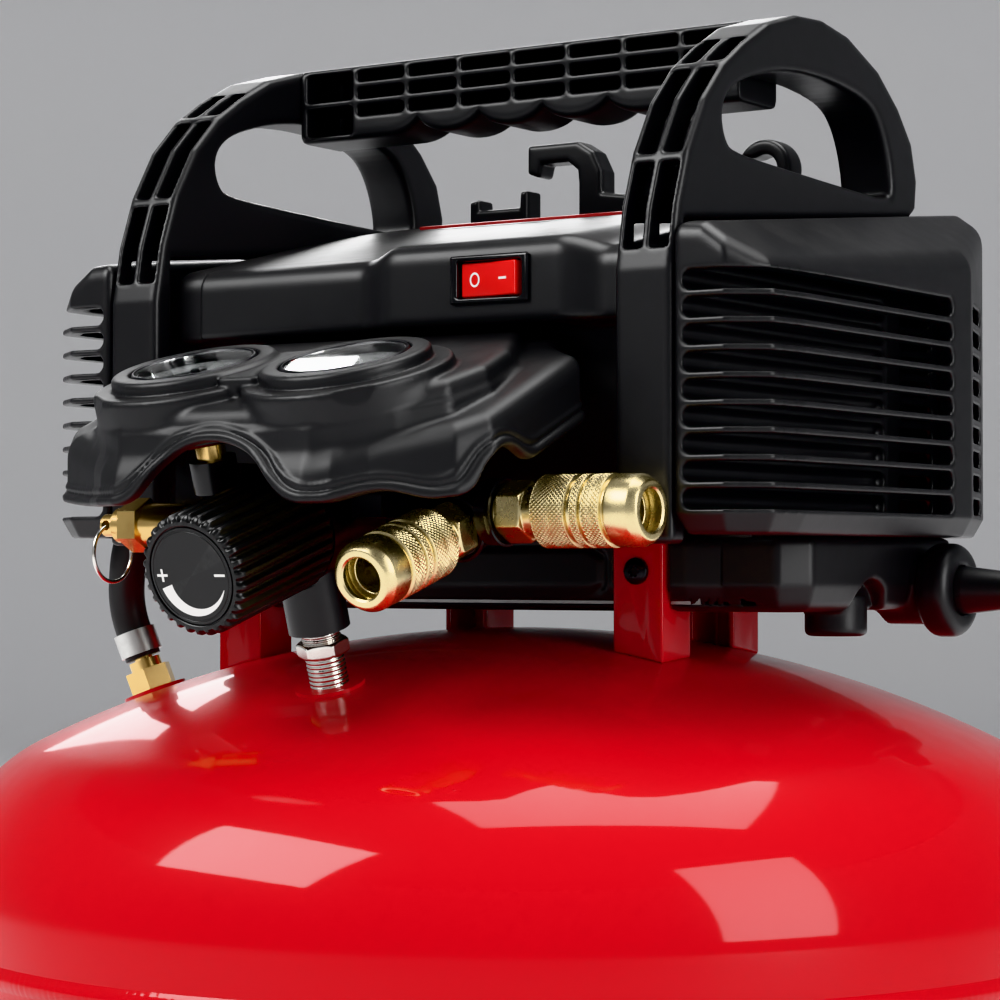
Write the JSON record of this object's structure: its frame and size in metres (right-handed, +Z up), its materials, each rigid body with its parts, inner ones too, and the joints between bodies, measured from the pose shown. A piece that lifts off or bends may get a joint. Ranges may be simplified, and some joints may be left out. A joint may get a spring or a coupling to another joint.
{
  "type": "portable air compressor",
  "caption": "Pancake air compressor: a dished red tank on rubber feet with a belt-driven pump in a black shroud, gauges, regulator knob, brass couplers and a carrying handle.",
  "frame": {"origin": "on the ground under the tank's axis", "axes": "+Z up, +X to the compressor's right, -Y to its front where the gauges are"},
  "size_m": [0.4229, 0.423, 0.469],
  "materials": {
    "red_paint": "gloss powder coat, deep red",
    "steel": "zinc plated steel",
    "black_screw": "black oxide",
    "rubber": "satin black rubber",
    "brass": "machined pale brass",
    "nickel": "bright nickel plate",
    "housing_plastic": "fine textured black moulding",
    "manifold_casting": "black moulded body",
    "knob_plastic": "smooth black moulding",
    "label": "printed black disc with white marks",
    "red_switch": "gloss red with white marks",
    "cast_aluminium": "as cast",
    "lamination": "stacked laminations",
    "gauge_case": "dark plated case and bright bezel",
    "gauge_face": "pale grey printed face",
    "needle": "black pointer",
    "lens": "clear flat lens",
    "red_lever": "red dipped lever"
  },
  "bodies": {
    "compressor": {"bracket_screws": "black_screw", "check_valve": "brass", "console_cover": "housing_plastic", "cord_hooks": "housing_plastic", "coupler_body_front": "brass", "coupler_body_side": "brass", "cylinder": "cast_aluminium", "cylinder_head": "cast_aluminium", "delivery_hose": "rubber", "drain_valve_body": "brass", "drive_belt": "rubber", "foot_brackets": "red_paint", "foot_screws": "steel", "front_tank_brackets": "red_paint", "gauge_case_left": "gauge_case", "gauge_case_right": "gauge_case", "gauge_dial_left": "gauge_face", "gauge_dial_right": "gauge_face", "gauge_lens_left": "lens", "gauge_lens_right": "lens", "handle_grip": "housing_plastic", "handle_left": "housing_plastic", "handle_right": "housing_plastic", "head_bolts": "steel", "hex_nipple": "nickel", "hose_clamps": "nickel", "lower_housing": "housing_plastic", "manifold_body": "manifold_casting", "motor_stator": "lamination", "pressure_switch": "housing_plastic", "pump_frame": "cast_aluminium", "rear_tank_brackets": "red_paint", "regulator_bonnet": "knob_plastic", "rubber_feet": "rubber", "safety_valve_body": "brass", "shaft_bearings": "steel", "shroud_front": "housing_plastic", "shroud_left": "housing_plastic", "shroud_rear": "housing_plastic", "shroud_right": "housing_plastic", "strain_relief": "rubber", "switch_bezel": "knob_plastic", "tank_bottom_head": "red_paint", "tank_bungs": "red_paint", "tank_top_head": "red_paint", "valve_plate": "steel"},
    "knob": {"regulator_knob": "knob_plastic", "knob_disc": "label"},
    "rocker": {"power_rocker": "red_switch"},
    "front_sleeve": {"coupler_sleeve_front": "brass"},
    "side_sleeve": {"coupler_sleeve_side": "brass"},
    "valve_stem": {"safety_valve_stem": "brass"},
    "ring": {"pull_ring": "nickel"},
    "lever": {"drain_lever": "red_lever"},
    "left_needle": {"gauge_needle_left": "needle"},
    "right_needle": {"gauge_needle_right": "needle"},
    "armature": {"motor_armature": "steel", "cooling_fan": "housing_plastic"},
    "crank": {"crank_pulley": "steel"},
    "piston": {"piston_rod": "steel"}
  },
  "joints": [
    {"name": "knob_turn", "type": "hinge", "parent": "compressor", "child": "knob", "pos_m": [0, -0.1424, 0.2876], "axis": [0, -0.9548, -0.2974], "range_deg": [-900, 900]},
    {"name": "rocker_tilt", "type": "hinge", "parent": "compressor", "child": "rocker", "pos_m": [0.049, -0.092, 0.372], "axis": [0, 0, 1], "range_deg": [0, 14]},
    {"name": "front_sleeve_slide", "type": "slide", "parent": "compressor", "child": "front_sleeve", "axis": [0, 0.9548, 0.2974], "range_m": [0, 0.004], "stiffness_N_per_m": 800, "springref_m": -0.004},
    {"name": "side_sleeve_slide", "type": "slide", "parent": "compressor", "child": "side_sleeve", "axis": [-1, 0, 0], "range_m": [0, 0.004], "stiffness_N_per_m": 800, "springref_m": -0.004},
    {"name": "valve_stem_pull", "type": "slide", "parent": "compressor", "child": "valve_stem", "axis": [-1, 0, 0], "range_m": [0, 0.003], "stiffness_N_per_m": 1200, "springref_m": -0.003},
    {"name": "ring_swing", "type": "hinge", "parent": "valve_stem", "child": "ring", "pos_m": [-0.09, -0.125, 0.29], "axis": [0, 1, 0], "range_deg": [-20, 100]},
    {"name": "drain_lever_turn", "type": "hinge", "parent": "compressor", "child": "lever", "pos_m": [0, -0.024, 0.021], "axis": [0, 0, 1], "range_deg": [-90, 0]},
    {"name": "left_needle_turn", "type": "hinge", "parent": "compressor", "child": "left_needle", "pos_m": [-0.03125, -0.15051, 0.33873], "axis": [0, -0.2974, 0.9548], "range_deg": [-270, 0], "stiffness_Nm_per_rad": 0.00002, "springref_deg": 17.19},
    {"name": "right_needle_turn", "type": "hinge", "parent": "compressor", "child": "right_needle", "pos_m": [0.03125, -0.15051, 0.33873], "axis": [0, -0.2974, 0.9548], "range_deg": [-270, 0], "stiffness_Nm_per_rad": 0.00002, "springref_deg": 17.19},
    {"name": "armature_spin", "type": "hinge", "parent": "compressor", "child": "armature", "pos_m": [0.05, 0.045, 0.34], "axis": [1, 0, 0], "continuous": true},
    {"name": "crank_spin", "type": "hinge", "parent": "compressor", "child": "crank", "pos_m": [-0.03, -0.028, 0.32], "axis": [1, 0, 0], "continuous": true},
    {"name": "piston_slide", "type": "slide", "parent": "compressor", "child": "piston", "axis": [0, 0, 1], "range_m": [-0.016, 0]}
  ],
  "couplings": [
    {"joint": "crank_spin", "follows": "armature_spin", "ratio": 0.26}
  ]
}
